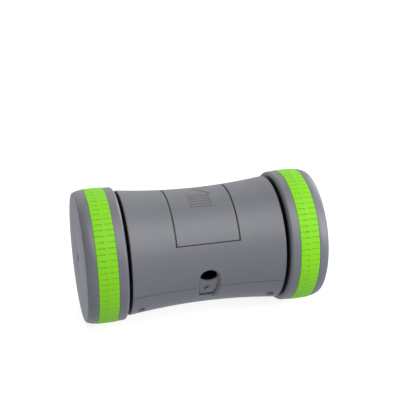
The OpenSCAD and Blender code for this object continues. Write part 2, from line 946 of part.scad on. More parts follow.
// The lid: a curved plate that runs on two tongues, with an arrow-shaped thumb grip
module fill_lid() {
    color(grey)
    difference() {
        union() {
            turned(lid_front, lid_back)
                difference() {
                    skin_profile(0, lid_t, lid_half);
                    for (way = [-1, 1])
                        translate([skin_r(lid_half), way * lid_half])
                            bevel(panel_bevel);
                }
            turned(lid_front + 1, lid_back - 1)
                for (way = [0, 1])
                    mirror([0, way])
                        translate([tongue_r, lid_half - sink])
                            square([tongue_t, tongue_w + sink]);
        }
        grip_field();
    }
}

// The sunk field of the grip: strips between the ribs of its shaft, and a plain pointed head
module grip_field() {
    per_mm = 180 / PI / waist_r;
    low = grip_angle - grip_top * per_mm;
    for (i = [0 : grip_ribs]) {
        start = max(0, (i - 0.5) * grip_pitch + grip_rib_w);
        stop = min(grip_shoulder + grip_top, (i + 0.5) * grip_pitch);
        turned(low + start * per_mm, low + stop * per_mm)
            translate([grip_floor_r, -grip_w / 2])
                square([wall_t, grip_w]);
    }
    facing(grip_angle)
        difference() {
            translate([0, 0, waist_r / 2])
                linear_extrude(waist_r)
                    polygon([
                        [grip_head_w / 2, grip_shoulder], [0, grip_top], [-grip_head_w / 2, grip_shoulder]
                    ]);
            rotate([0, 90, 0])
                cylinder(h = far, r = grip_floor_r, center = true, $fn = fine);
        }
}

// The curved plate that closes the outlet from below, with a scooped top edge and a nub
module portion_slider() {
    color(grey) {
        difference() {
            turned(slider_bottom, slider_top)
                translate([slider_in_r, -slider_w / 2])
                    square([slider_t, slider_w]);
            facing(outlet_angle)
                translate([0, scoop_s, inside_r / 2])
                    cylinder(h = inside_r, r = scoop_r, $fn = fine);
        }
        facing(nub_angle)
            translate([0, 0, slider_in_r + slider_t / 2])
                difference() {
                    cylinder(h = slider_t / 2 + nub_h, r = nub_d / 2, $fn = fine);
                    translate([0, -nub_d * 0.75, slider_t / 2 + nub_h])
                        rotate([0, 90, 0])
                            cylinder(h = nub_d + 1, r = nub_d * 0.6, center = true, $fn = fine);
                }
    }
}

// The bin: a drum with a sloping floor, an open top under the lid and a mouth to the outlet
module treat_bin() {
    color(grey)
    difference() {
        union() {
            difference() {
                rod_x(-bin_half, bin_half, bin_r);
                bin_under(0);
            }
            turned(skirt_bottom, guide_top)
                translate([bin_r - bin_t, -guide_out])
                    square([bin_t, 2 * guide_out]);
            for (way = [0, 1])
                turned(skirt_bottom, guide_top)
                    mirror([0, way])
                        translate([bin_r - sink, guide_in])
                            square([inside_r - slide_gap - bin_r + sink, guide_w]);
            for (x = [0, 1])
                mirror([x, 0, 0])
                    for (y = [-1, 1])
                        block([bin_half - sink, y * bin_screw_y - bin_boss_r, -bin_tab_t],
                            [bin_screw_x + bin_boss_r, y * bin_screw_y + bin_boss_r, 0]);
        }
        difference() {
            rod_x(bin_t - bin_half, bin_half - bin_t, bin_r - bin_t);
            bin_under(bin_t);
        }
        turned(fill_front - 2, fill_back + 2)
            translate([inside_r / 2, -fill_w / 2])
                square([inside_r, fill_w]);
        facing(outlet_angle)
            translate([0, 0, bin_r * 0.8])
                linear_extrude(bin_r)
                    bin_mouth();
        for (x = [-1, 1])
            for (y = [-1, 1])
                rod_z(-bin_tab_t - 1, 1, small_screw_d / 2 + 0.1, x * bin_screw_x, y * bin_screw_y);
    }
}

// Outline of the bin's mouth: an arch over a flat sill
module bin_mouth() {
    half = mouth_w / 2;
    translate([0, mouth_top - half])
        circle(r = half, $fn = fine);
    translate([-half, mouth_bottom])
        square([mouth_w, mouth_top - half - mouth_bottom]);
}

// Everything below the bin's floor, raised by an amount
module bin_under(rise) {
    translate([0, floor_front_y, axle_z - floor_drop - bin_t + rise])
        rotate([floor_slope, 0, 0])
            translate([-far, -far, -far])
                cube([2 * far, 2 * far, far]);
}

module bin_screws() {
    color(steel)
    for (x = [-1, 1])
        for (y = [-1, 1])
            translate([x * bin_screw_x, y * bin_screw_y, axle_z - bin_tab_t])
                screw(small_screw_d, bin_screw_len, 2 * small_screw_d, 1.4);
}

// The door: a curved plate with a thicker spot at its screw
module battery_door() {
    color(grey)
    difference() {
        union() {
            turned(door_back, door_front)
                difference() {
                    skin_profile(0, door_t, door_half);
                    for (way = [-1, 1])
                        translate([skin_r(door_half), way * door_half])
                            bevel(panel_bevel);
                }
            facing(door_screw_angle)
                translate([0, 0, waist_r - door_t - door_boss_t])
                    cylinder(h = door_t / 2 + door_boss_t, r = door_boss_r, $fn = fine);
        }
        facing(door_screw_angle) {
            translate([0, 0, door_seat_r - door_screw_len - 0.5])
                cylinder(h = far, r = small_screw_d / 2 + 0.1, $fn = fine);
            translate([0, 0, door_seat_r])
                cylinder(h = far, r = small_screw_d + 0.2, $fn = fine);
        }
    }
}

module battery_door_screw() {
    color(steel)
    facing(door_screw_angle)
        translate([0, 0, door_seat_r])
            rotate([180, 0, 0])
                screw(small_screw_d, door_screw_len, 2 * small_screw_d, 1.1);
}

// Places a child on each cell's axis, with every second cell turned round
module each_cell() {
    for (i = [-1 : 1])
        translate([0, i * cell_pitch, axle_z - cell_drop])
            rotate([0, 0, i == 0 ? 180 : 0])
                children();
}

// Three cells whose buttons touch the plain contacts
module battery_cells() {
    button_len = 1.3;
    flat_x = tray_half_x - contact_t - cell_len;
    color(dark)
    each_cell()
        rotate([0, 90, 0]) {
            translate([0, 0, flat_x])
                cylinder(h = cell_len - button_len, r = cell_d / 2, $fn = fine);
            translate([0, 0, flat_x])
                cylinder(h = cell_len, r = 2.7, $fn = fine);
        }
}

module contact_plates() {
    color(steel)
    union() {
        each_cell()
            for (end = [-1, 1])
                translate([end * (tray_half_x - contact_t / 2), 0, 0])
                    cube([contact_t, 2 * contact_half, 2 * contact_half], center = true);
        for (end = [-1, 1])
            rotate([0, 0, end < 0 ? 180 : 0])
                block([tray_half_x - contact_t, cell_pitch - tab_half, -cell_drop],
                    [tray_half_x, cell_pitch + tab_half, -tab_top]);
    }
}

// Cone springs between the plates and the cells' flat ends
module contact_springs() {
    wire_r = 0.35;
    turns = 4;
    steps = 12;
    wide = 4.2;
    narrow = 2.2;
    run = spring_len - 2 * wire_r - 0.04;
    start = -tray_half_x + contact_t + wire_r + 0.02;
    coil = [
        for (i = [0 : turns * steps])
            let (
                t = i / (turns * steps),
                r = wide + (narrow - wide) * t,
                angle = i * 360 / steps
            )
            [start + run * t, r * cos(angle), r * sin(angle)]
    ];
    color(steel)
    each_cell()
        tube(coil, wire_r, 6, [1, 0, 0]);
}

module control_board() {
    color(board_green)
    difference() {
        block([board_left, board_y, board_low],
            [board_left + board_w, board_y + board_t, board_low + board_len]);
        for (at = board_posts)
            rod_y(board_y - 1, board_y + board_t + 1, small_screw_d / 2 + 0.1, at[0], at[1]);
    }
}

// Two chips and a capacitor on the board's inner face
module board_chips() {
    color(dark) {
        block([chip_at[0], board_y - chip_t, chip_at[1]],
            [chip_at[0] + chip_w, board_y, chip_at[1] + chip_w]);
        block([driver_at[0], board_y - driver_t, driver_at[1]],
            [driver_at[0] + driver_w, board_y, driver_at[1] + driver_len]);
        rod_y(board_y - capacitor_h, board_y, capacitor_r, capacitor_at[0], capacitor_at[1]);
    }
}

module tact_switch() {
    half = 3;
    top = board_y + board_t + switch_h;
    color(dark)
    union() {
        block([button_x - half, board_y + board_t, button_rise - half],
            [button_x + half, top, button_rise + half]);
        rod_y(top - sink, top + plunger_h, 1.7, button_x, button_rise);
    }
}

module board_screws() {
    color(steel)
    for (at = board_posts)
        translate([at[0], board_y, axle_z + at[1]])
            rotate([-90, 0, 0])
                screw(small_screw_d, board_screw_len, 2 * small_screw_d, 1.4);
}

// The button: a cap with a flange inside the wall and a stem to the switch
module power_button() {
    stem_y = board_y + board_t + switch_h + plunger_h + button_travel + 0.1;
    flange_t = 1.2;
    color(dark)
    union() {
        difference() {
            rod_y(button_flange_y - flange_t, button_y, button_r, button_x, button_rise);
            translate([button_x, button_y + 9.6, axle_z + button_rise])
                sphere(r = 10, $fn = fine);
        }
        rod_y(button_flange_y - flange_t, button_flange_y, button_flange_r, button_x, button_rise);
        rod_y(stem_y, button_flange_y, 2, button_x, button_rise);
    }
}

// Leads from the motors and the free battery contacts to the board
module wiring() {
    color(dark)
    translate([0, 0, axle_z])
        for (route = concat(right_motor_routes, left_motor_routes, battery_routes))
            tube(smooth(route, 4), lead_d / 2, 8, [0, 0, 1]);
}

// Rooms of the gears and the motor's seat in the gear case, grown by an amount
module case_outline(grow) {
    rooms = [
        [output_at, tip_r(third_module, output_teeth) + case_room],
        [second_at, tip_r(second_module, second_wheel_teeth) + case_room],
        [first_at, tip_r(first_module, first_wheel_teeth) + case_room],
        [motor_at, motor_d / 2 + case_room]
    ];
    for (room = rooms)
        translate(room[0])
            circle(r = room[1] + grow, $fn = fine);
}

// Places of the two screws in a motor's face
module each_motor_screw() {
    for (way = [-1, 1])
        translate(motor_at + way * motor_screw_distance * [cos(pinion_way + 90), sin(pinion_way + 90)])
            children();
}

module gear_case(left) {
    color(white)
    side(left)
        difference() {
            union() {
                along_x(case_in_x, case_floor_x)
                    case_outline(case_t);
                along_x(case_floor_x - sink, cover_in_x)
                    difference() {
                        case_outline(case_t);
                        case_outline(0);
                    }
                rod_x(axle_in_x + 0.3, case_in_x + sink, axle_r + case_t);
                along_x(case_floor_x, case_floor_x + ear_t)
                    difference() {
                        for (way = ear_ways)
                            rotate(way) {
                                translate([ear_distance, 0])
                                    circle(r = ear_post_r, $fn = fine);
                                translate([0, -ear_post_r])
                                    square([ear_distance, 2 * ear_post_r]);
                            }
                        case_outline(case_t / 2);
                    }
            }
            rod_x(axle_in_x - 1, cover_in_x, axle_r + run_fit);
            for (at = [first_at, second_at])
                rod_x(case_in_x + 0.4, case_floor_x + 1, pin_r + seat_fit, at);
            rod_x(case_in_x - 1, case_floor_x + 1, motor_shaft_d / 2 + 0.5, motor_at);
            along_x(case_in_x - 1, case_floor_x + 1)
                each_motor_screw()
                    circle(r = small_screw_d / 2 + 0.1, $fn = fine);
            for (way = ear_ways)
                rod_x(case_floor_x - 1, case_floor_x + ear_t + 1, small_screw_d / 2 + 0.1,
                    ear_distance * [cos(way), sin(way)]);
        }
}

module gear_cover(left) {
    color(white)
    side(left)
        difference() {
            along_x(cover_in_x, end_wall_x)
                case_outline(case_t);
            rod_x(cover_in_x - 1, end_wall_x + 1, bush_r + seat_fit);
            for (at = [first_at, second_at])
                rod_x(cover_in_x - 1, end_wall_x - 0.3, pin_r + seat_fit, at);
        }
}

module gear_pins() {
    color(steel)
    for (left = [false, true])
        side(left)
            for (at = [first_at, second_at])
                rod_x(case_in_x + 0.5, end_wall_x - 0.4, pin_r, at);
}

// Flanged bushes in the drum's end walls
module axle_bushes() {
    flange_t = 1;
    color(brass)
    for (left = [false, true])
        side(left)
            difference() {
                union() {
                    rod_x(cover_in_x + 0.2, body_half + flange_t, bush_r);
                    rod_x(body_half, body_half + flange_t, bush_r + 1.5);
                }
                rod_x(cover_in_x - 1, wheel_in_x, axle_r + run_fit);
            }
}

module motor(left) {
    color(steel)
    side(left)
        difference() {
            union() {
                along_x(motor_back_x, case_in_x, motor_at)
                    intersection() {
                        circle(r = motor_d / 2, $fn = fine);
                        square([motor_d + 1, motor_flat_w], center = true);
                    }
                for (way = [-1, 1])
                    along_x(motor_back_x - motor_tag_len, motor_back_x + sink,
                        motor_at + [way * motor_tag_apart, 0])
                        square([2, 0.6], center = true);
            }
            rod_x(motor_back_x + 2, case_in_x + 1, motor_shaft_d / 2 + run_fit, motor_at);
            along_x(case_in_x - 3, case_in_x + 1)
                each_motor_screw()
                    circle(r = small_screw_d / 2 + seat_fit, $fn = fine);
        }
}

module motor_screws() {
    color(steel)
    for (left = [false, true])
        side(left)
            translate([case_floor_x, 0, axle_z])
                rotate([90, 0, 90])
                    each_motor_screw()
                        rotate([180, 0, 0])
                            screw(small_screw_d, case_t + 2.6, 1.5 * small_screw_d, 0.9);
}

module gear_case_screws() {
    color(steel)
    for (left = [false, true])
        side(left)
            for (way = ear_ways)
                translate([case_floor_x, ear_distance * cos(way), axle_z + ear_distance * sin(way)])
                    rotate([90, 0, 90])
                        screw(small_screw_d, case_screw_len, 2 * small_screw_d, 1.2);
}

module motor_shaft(left) {
    color(steel)
    side(left)
        rod_x(motor_back_x + 2.2, plane_1 + gear_t, motor_shaft_d / 2, motor_at);
}

// A toothed wheel between two x positions
module toothed(module_size, teeth, turn, from, to, at) {
    along_x(from, to, at)
        polygon(gear_outline(module_size, teeth, turn));
}

module pinion(left) {
    color(brass)
    side(left)
        difference() {
            toothed(first_module, pinion_teeth, pinion_way + 180 + 180 / pinion_teeth,
                plane_1, plane_1 + gear_t, motor_at);
            rod_x(plane_1 - 1, plane_1 + gear_t + 1, motor_shaft_d / 2 + seat_fit / 2, motor_at);
        }
}

// The first gear: a wide wheel on the pinion and a small one on the second gear
module first_gear(left) {
    color(white)
    side(left)
        difference() {
            union() {
                toothed(first_module, first_wheel_teeth, pinion_way, plane_1, plane_1 + gear_t, first_at);
                toothed(second_module, first_pinion_teeth, first_way + 180 + 180 / first_pinion_teeth,
                    plane_1 + gear_t - sink, plane_2 + gear_t, first_at);
                rod_x(plane_2 + gear_t - sink, cover_in_x - axial_gap / 2, pin_r + 0.8, first_at);
            }
            rod_x(case_in_x, end_wall_x, pin_r + run_fit, first_at);
        }
}

// The second gear: a wide wheel on the first gear and a small one on the output gear
module second_gear(left) {
    color(white)
    side(left)
        difference() {
            union() {
                toothed(second_module, second_wheel_teeth, first_way, plane_2, plane_2 + gear_t, second_at);
                toothed(third_module, second_pinion_teeth, second_way + 180 + 180 / second_pinion_teeth,
                    plane_2 + gear_t - sink, plane_3 + gear_t, second_at);
                rod_x(case_floor_x + axial_gap / 2, plane_2 + sink, pin_r + 1.2, second_at);
            }
            rod_x(case_in_x, end_wall_x, pin_r + run_fit, second_at);
        }
}

module output_gear(left) {
    color(white)
    side(left)
        difference() {
            union() {
                toothed(third_module, output_teeth, second_way, plane_3, plane_3 + gear_t, output_at);
                rod_x(case_floor_x + axial_gap / 2, plane_3 + sink, axle_r + 1.8);
            }
            rod_x(case_in_x, end_wall_x, axle_r + seat_fit);
        }
}

module axle(left) {
    color(steel)
    side(left)
        difference() {
            rod_x(axle_in_x, axle_out_x, axle_r);
            rod_x(axle_out_x - hub_screw_len - 1, axle_out_x + 1, hub_screw_r + seat_fit);
        }
}

// Bosses for the wheel's own screws, between the webs
module each_wheel_screw() {
    for (i = [0 : 2])
        rotate([i * 120 + 180 / web_count, 0, 0])
            translate([0, 0, wheel_screw_circle_d / 2])
                rotate([0, 90, 0])
                    children();
}

// Outer face, outer rim, drum, hub and webs of a wheel, as one moulding
module wheel_dish(left) {
    steps = 5;
    lean = 26;
    edge_r = face_r + face_round * cos(lean);
    edge_x = wheel_out_x - face_round * (1 - sin(lean));
    rim = concat(
        [[drum_in_r, tyre_out_x]],
        [
            for (i = [0 : steps])
                let (share = i / steps)
                [rim_r - (rim_r - edge_r) * share * share, tyre_out_x + (edge_x - tyre_out_x) * share]
        ],
        [
            for (i = [1 : steps])
                let (angle = lean + (90 - lean) * i / steps)
                [face_r + face_round * cos(angle), wheel_out_x - face_round * (1 - sin(angle))]
        ],
        [[drum_in_r, wheel_out_x]]
    );
    boss_x = wheel_in_x + back_t;
    color(grey)
    side(left)
        difference() {
            union() {
                turned() {
                    polygon(rim);
                    translate([drum_in_r, tyre_in_x])
                        square([rim_t, tyre_w + sink]);
                    translate([hub_screw_r + 0.1, axle_out_x])
                        square([face_r - hub_screw_r - 0.1, face_t]);
                    translate([axle_r + seat_fit, wheel_in_x])
                        square([hub_r - axle_r - seat_fit, axle_out_x - wheel_in_x + sink]);
                }
                for (i = [0 : web_count - 1])
                    translate([0, 0, axle_z])
                        rotate([i * 360 / web_count, 0, 0])
                            translate([tyre_in_x, -web_t / 2, hub_r - sink])
                                cube([axle_out_x - tyre_in_x + sink, web_t, drum_in_r - hub_r + 2 * sink]);
                translate([0, 0, axle_z])
                    each_wheel_screw()
                        translate([0, 0, boss_x])
                            cylinder(h = axle_out_x - boss_x + sink, r = wheel_boss_r, $fn = fine);
            }
            rod_x(wheel_out_x - hub_recess_depth, wheel_out_x + 1, hub_recess_d / 2);
            translate([0, 0, axle_z])
                each_wheel_screw()
                    translate([0, 0, boss_x - 1])
                        cylinder(h = wheel_screw_len + 2, r = wheel_screw_r + seat_fit, $fn = fine);
        }
}

// Inner rim and back plate of a wheel, with a spigot inside the drum
module wheel_back(left) {
    steps = 6;
    swell = rim_r - back_r;
    spigot_t = 1.6;
    spigot_len = 4;
    rim = concat(
        [[hub_r + 0.1, wheel_in_x], [back_r, wheel_in_x]],
        [
            for (i = [1 : steps])
                let (angle = 90 * i / steps)
                [back_r + swell * sin(angle), wheel_in_x + back_round * (1 - cos(angle))]
        ],
        [
            [rim_r, tyre_in_x], [drum_in_r - seat_fit, tyre_in_x],
            [drum_in_r - seat_fit, tyre_in_x + spigot_len],
            [drum_in_r - spigot_t, tyre_in_x + spigot_len],
            [drum_in_r - spigot_t, wheel_in_x + back_t], [hub_r + 0.1, wheel_in_x + back_t]
        ]
    );
    color(grey)
    side(left)
        difference() {
            turned()
                polygon(rim);
            for (i = [0 : web_count - 1])
                translate([0, 0, axle_z])
                    rotate([i * 360 / web_count, 0, 0])
                        translate([tyre_in_x - 0.1, -web_t / 2 - 0.1, hub_r])
                            cube([spigot_len + 1, web_t + 0.2, drum_in_r - hub_r + 1]);
            translate([0, 0, axle_z])
                each_wheel_screw() {
                    translate([0, 0, wheel_in_x - 1])
                        cylinder(h = back_t + 2, r = wheel_screw_r + 0.1, $fn = fine);
                    translate([0, 0, wheel_in_x - 1])
                        cylinder(h = wheel_head_t + 1, r = wheel_head_r + 0.2, $fn = fine);
                }
        }
}

// The rubber band, with two rows of cuts either side of a plain rib
module tyre(left) {
    cut_len = (tyre_w - lug_rib_w) / 2;
    middle_x = tyre_in_x + tyre_w / 2;
    color(green)
    side(left)
        difference() {
            turned()
                polygon([
                    [drum_r + seat_fit, tyre_in_x + seat_fit],
                    [tyre_r - tread_bevel, tyre_in_x + seat_fit],
                    [tyre_r, tyre_in_x + tread_bevel],
                    [tyre_r, tyre_out_x - tread_bevel],
                    [tyre_r - tread_bevel, tyre_out_x - seat_fit],
                    [drum_r + seat_fit, tyre_out_x - seat_fit]
                ]);
            for (i = [0 : lug_count - 1])
                translate([middle_x, 0, axle_z])
                    rotate([(i + 0.5) * 360 / lug_count, 0, 0])
                        for (way = [0, 1])
                            mirror([way, 0, 0])
                                translate([lug_rib_w / 2, -lug_cut_w / 2, tyre_r - lug_cut_depth])
                                    cube([cut_len + 1, lug_cut_w, lug_cut_depth + 1]);
        }
}

module wheel_screws(left) {
    color(steel)
    side(left)
        translate([0, 0, axle_z])
            each_wheel_screw()
                translate([0, 0, wheel_in_x + wheel_head_t])
                    screw(2 * wheel_screw_r, wheel_screw_len, 2 * wheel_head_r, wheel_head_t);
}

module hub_screw(left) {
    color(dark)
    side(left)
        translate([wheel_out_x - hub_recess_depth, 0, axle_z])
            rotate([0, -90, 0])
                screw(2 * hub_screw_r, hub_screw_len, hub_recess_d - 0.5, hub_recess_depth - 0.5);
}

upper_shell();
lower_shell();
shell_screws();
fill_lid();
portion_slider();
treat_bin();
bin_screws();
battery_door();
battery_door_screw();
battery_cells();
contact_plates();
contact_springs();
control_board();
board_chips();
tact_switch();
board_screws();
power_button();
wiring();
gear_pins();
axle_bushes();
motor_screws();
gear_case_screws();
gear_case(false);  // right_gear_case
gear_cover(false);  // right_gear_cover
motor(false);  // right_motor
motor_shaft(false);  // right_motor_shaft
pinion(false);  // right_pinion
first_gear(false);  // right_first_gear
second_gear(false);  // right_second_gear
output_gear(false);  // right_output_gear
axle(false);  // right_axle
wheel_dish(false);  // right_wheel_dish
wheel_back(false);  // right_wheel_back
tyre(false);  // right_tyre
wheel_screws(false);  // right_wheel_screws
hub_screw(false);  // right_hub_screw
gear_case(true);  // left_gear_case
gear_cover(true);  // left_gear_cover
motor(true);  // left_motor
motor_shaft(true);  // left_motor_shaft
pinion(true);  // left_pinion
first_gear(true);  // left_first_gear
second_gear(true);  // left_second_gear
output_gear(true);  // left_output_gear
axle(true);  // left_axle
wheel_dish(true);  // left_wheel_dish
wheel_back(true);  // left_wheel_back
tyre(true);  // left_tyre
wheel_screws(true);  // left_wheel_screws
hub_screw(true);  // left_hub_screw
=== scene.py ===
import json
import math

import bmesh
import bpy
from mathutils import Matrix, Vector


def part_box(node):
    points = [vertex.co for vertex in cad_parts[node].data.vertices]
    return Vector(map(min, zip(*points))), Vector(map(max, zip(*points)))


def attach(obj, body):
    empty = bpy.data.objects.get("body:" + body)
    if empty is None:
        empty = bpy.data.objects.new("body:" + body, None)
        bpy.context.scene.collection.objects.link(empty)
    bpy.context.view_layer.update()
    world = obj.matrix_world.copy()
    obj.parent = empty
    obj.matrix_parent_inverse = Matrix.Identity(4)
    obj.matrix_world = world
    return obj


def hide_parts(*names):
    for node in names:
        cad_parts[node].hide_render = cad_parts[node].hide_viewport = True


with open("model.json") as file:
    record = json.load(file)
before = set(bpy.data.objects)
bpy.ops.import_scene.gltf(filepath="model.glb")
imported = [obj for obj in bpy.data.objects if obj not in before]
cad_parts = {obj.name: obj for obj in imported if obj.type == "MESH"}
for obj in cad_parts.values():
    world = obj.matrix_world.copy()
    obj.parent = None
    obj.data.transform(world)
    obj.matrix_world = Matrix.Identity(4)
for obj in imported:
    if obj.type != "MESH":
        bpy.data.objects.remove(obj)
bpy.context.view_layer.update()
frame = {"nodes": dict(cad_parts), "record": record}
NODES = frame["nodes"]

# Places in the frame, in metres: the wheels' axis runs along X at this height
AXIS_Z = (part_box("right_axle")[0].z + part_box("right_axle")[1].z) / 2
TYRE_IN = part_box("right_tyre")[0].x
TYRE_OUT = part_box("right_tyre")[1].x
TYRE_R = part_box("right_tyre")[1].z - AXIS_Z
RIM_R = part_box("right_wheel_back")[1].z - AXIS_Z
WHEEL_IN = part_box("right_wheel_back")[0].x
WHEEL_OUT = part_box("right_wheel_dish")[1].x
BACK_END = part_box("right_wheel_back")[1].x

# Sizes of the wheels, in metres
TYRE_T = 0.0042
DRUM_WALL = 0.002
FACE_T = 0.0024
BACK_T = 0.0024
HUB_R = 0.007
AXLE_R = 0.0025
HUB_RECESS_R = 0.003
HUB_RECESS_DEPTH = 0.0016
HUB_SCREW_R = 0.00125
SPIGOT_T = 0.0016
WEB_COUNT = 6
WEB_T = 0.0016
BOSS_COUNT = 3
BOSS_R = 0.004
BOSS_CIRCLE_R = 0.03
DRUM_R = TYRE_R - TYRE_T
DRUM_IN_R = DRUM_R - DRUM_WALL

# Gaps between seated pieces and round bores, and how far webs and bosses reach into what carries them
FIT = 0.00002
BORE_PLAY = 0.0001
LAP = 0.0004

# Roundings of the wheels: the outer rim's crown, the edges, and the slight fall of the inner rim
CROWN = 0.0023
CROWN_STEPS = 6
FACE_ROUND = 0.0016
RIM_ROUND = 0.0002
BACK_ROUND = 0.0029
BACK_FALL = 0.0002
RECESS_ROUND = 0.0002
HUB_ROUND = 0.0003
INSIDE_ROUND = 0.0008

# Sizes of the tread, in metres: two rows of cuts either side of a plain rib
LUG_COUNT = 72
LUG_RIB = 0.0016
GROOVE_W = 0.0013
GROOVE_DEPTH = 0.00065
TREAD_ROUND = 0.0006
TREAD_CROWN = 0.0002
# A cut's run-out beside the rib and towards the tyre's edge, and the share of its depth left at that edge
GROOVE_END = 0.0005
GROOVE_FADE = 0.001
GROOVE_EDGE = 0.7
# Power of the cosine that shapes a cut's bottom: less than 1 is fuller
GROOVE_POWER = 0.7
# Depth on the tyre's sides where cuts and crown die out, and the height over which they grow in full
SIDE_DEPTH = 0.0016
SIDE_BLEND = 0.0009
# Stations across one cut and the land beside it, as shares of the cut's width
GROOVE_STATIONS = (-0.5, -0.4, -0.29, -0.18, -0.06, 0.06, 0.18, 0.29, 0.4, 0.5, 1.1, 2.0, 2.8)

# Fineness of the meshes, and the angle in degrees past which an edge stays crisp
WHEEL_STEPS = 192
ROD_STEPS = 32
CRISP_ANGLE = 32.0

# The photograph's viewpoint: degrees, metres, millimetres of lens and shares of the frame
CAMERA_AZIMUTH = -14.1
CAMERA_ELEVATION = 27.13
CAMERA_DISTANCE = 0.812
CAMERA_LENS = 83.35
CAMERA_SENSOR = 36.0
CAMERA_SHIFT = (0.0115, 0.111)
CAMERA_NEAREST = 0.01

# Soft lights at a distance: azimuth, elevation and spread in degrees, and strength
LIGHTS = {
    "key": (26.0, 46.0, 58.0, 2.45),
    "top": (16.0, 72.0, 60.0, 1.22),
    "right": (118.0, 22.0, 45.0, 2.1),
    "back": (180.0, 42.0, 60.0, 1.1),
    "left": (-140.0, 12.0, 60.0, 0.25),
}

# A soft lamp near the right wheel: azimuth and elevation in degrees, distance and width in metres, watts
LAMP = (52.0, 20.0, 0.42, 0.25, 1.1)

# The floor's half width in metres, its grey, and the strength of its own glow
FLOOR_HALF = 30.0
FLOOR_GREY = 0.24
FLOOR_GLOW = 0.86

# The soft surround, from below the floor upwards: heights as sines of the elevation, and colours
WHITE = (1.0, 1.0, 1.0, 1.0)
SURROUND = (
    (-0.02, (0.86, 0.875, 0.94, 1.0)),
    (0.0, WHITE),
    (0.1, WHITE),
    (0.3, (0.03, 0.03, 0.03, 1.0)),
)

# Linear colours of the materials
GREY = (0.096, 0.099, 0.113)
DARK = (0.012, 0.012, 0.013)
GREEN = (0.158, 0.445, 0.006)
NYLON = (0.62, 0.61, 0.57)
STEEL = (0.55, 0.55, 0.56)
BRASS = (0.62, 0.42, 0.16)
CELL = (0.05, 0.10, 0.16)
BOARD = (0.012, 0.09, 0.035)


def shade(colour, factor):
    """A colour made darker or lighter."""
    return tuple(min(1.0, c * factor) for c in colour)


class Surface:
    """A procedural material: one shader, and the nodes that feed it."""

    def __init__(self, name):
        self.material = bpy.data.materials.new(name)
        self.material.use_nodes = True
        self.tree = self.material.node_tree
        self.shader = self.tree.nodes["Principled BSDF"]
        self.place = None

    def set(self, socket, value):
        """Sets one of the shader's sockets to a number, a colour or another node's output."""
        self.feed(self.shader.inputs[socket], value)

    def feed(self, socket, value):
        """Links a node's output to a socket, or sets the socket to a plain value."""
        if isinstance(value, bpy.types.NodeSocket):
            self.tree.links.new(value, socket)
        else:
            socket.default_value = value

    def node(self, kind, *values, **settings):
        """A new node with settings, its first inputs fed in order; None leaves an input as it is."""
        node = self.tree.nodes.new("ShaderNode" + kind)
        for key, value in settings.items():
            setattr(node, key, value)
        for socket, value in zip(node.inputs, values):
            if value is not None:
                self.feed(socket, value)
        return node

    def noise(self, per_metre, detail=2.0, stretch=None):
        """Noise in the object's own coordinates, from 0 to 1, finer along an axis with a larger stretch."""
        if self.place is None:
            self.place = self.node("TexCoord").outputs["Object"]
        spot = self.place
        if stretch is not None:
            spot = self.node("VectorMath", spot, stretch, operation="MULTIPLY").outputs[0]
        texture = self.node("TexNoise")
        self.feed(texture.inputs["Vector"], spot)
        texture.inputs["Scale"].default_value = per_metre
        texture.inputs["Detail"].default_value = detail
        return texture.outputs["Fac"]

    def spread(self, value, low=0.0, high=1.0, start=0.3, stop=0.7):
        """Maps a value between start and stop to a range."""
        return self.node("MapRange", value, start, stop, low, high).outputs[0]

    def mix(self, share, first, second):
        """One colour blended into another."""
        node = self.node("Mix", data_type="RGBA")
        self.feed(node.inputs[0], share)
        self.feed(node.inputs[6], first if isinstance(first, bpy.types.NodeSocket) else (*first, 1.0))
        self.feed(node.inputs[7], second if isinstance(second, bpy.types.NodeSocket) else (*second, 1.0))
        return node.outputs[2]

    def tones(self, pattern, colour, darkest, lightest):
        """A colour that a pattern varies between two of its shades."""
        return self.mix(pattern, shade(colour, darkest), shade(colour, lightest))

    def times(self, first, second):
        """The product of two values."""
        return self.node("Math", first, second, operation="MULTIPLY").outputs[0]

    def edges(self, radius):
        """Normals that round each edge off, and a mask that is 1 on sharp edges."""
        normal = self.node("Bevel", radius, samples=6).outputs[0]
        flat = self.node("NewGeometry").outputs["Normal"]
        lean = self.node("VectorMath", normal, flat, operation="DOT_PRODUCT").outputs["Value"]
        return normal, self.spread(lean, start=0.985, stop=0.80)

    def painted_shade_mask(self, reach):
        """A mask that is 1 in narrow gaps and cuts, and 0 on open surfaces: where painted shade goes."""
        sky = self.node("AmbientOcclusion", None, reach, samples=8).outputs["AO"]
        return self.spread(sky, low=1.0, high=0.0, start=0.3, stop=0.82)

    def bump(self, height, depth, normal=None):
        """Normals of a surface with small hills of a depth in metres."""
        node = self.node("Bump")
        node.inputs["Strength"].default_value = 1.0
        node.inputs["Distance"].default_value = depth
        self.feed(node.inputs["Height"], height)
        if normal is not None:
            self.feed(node.inputs["Normal"], normal)
        return node.outputs["Normal"]


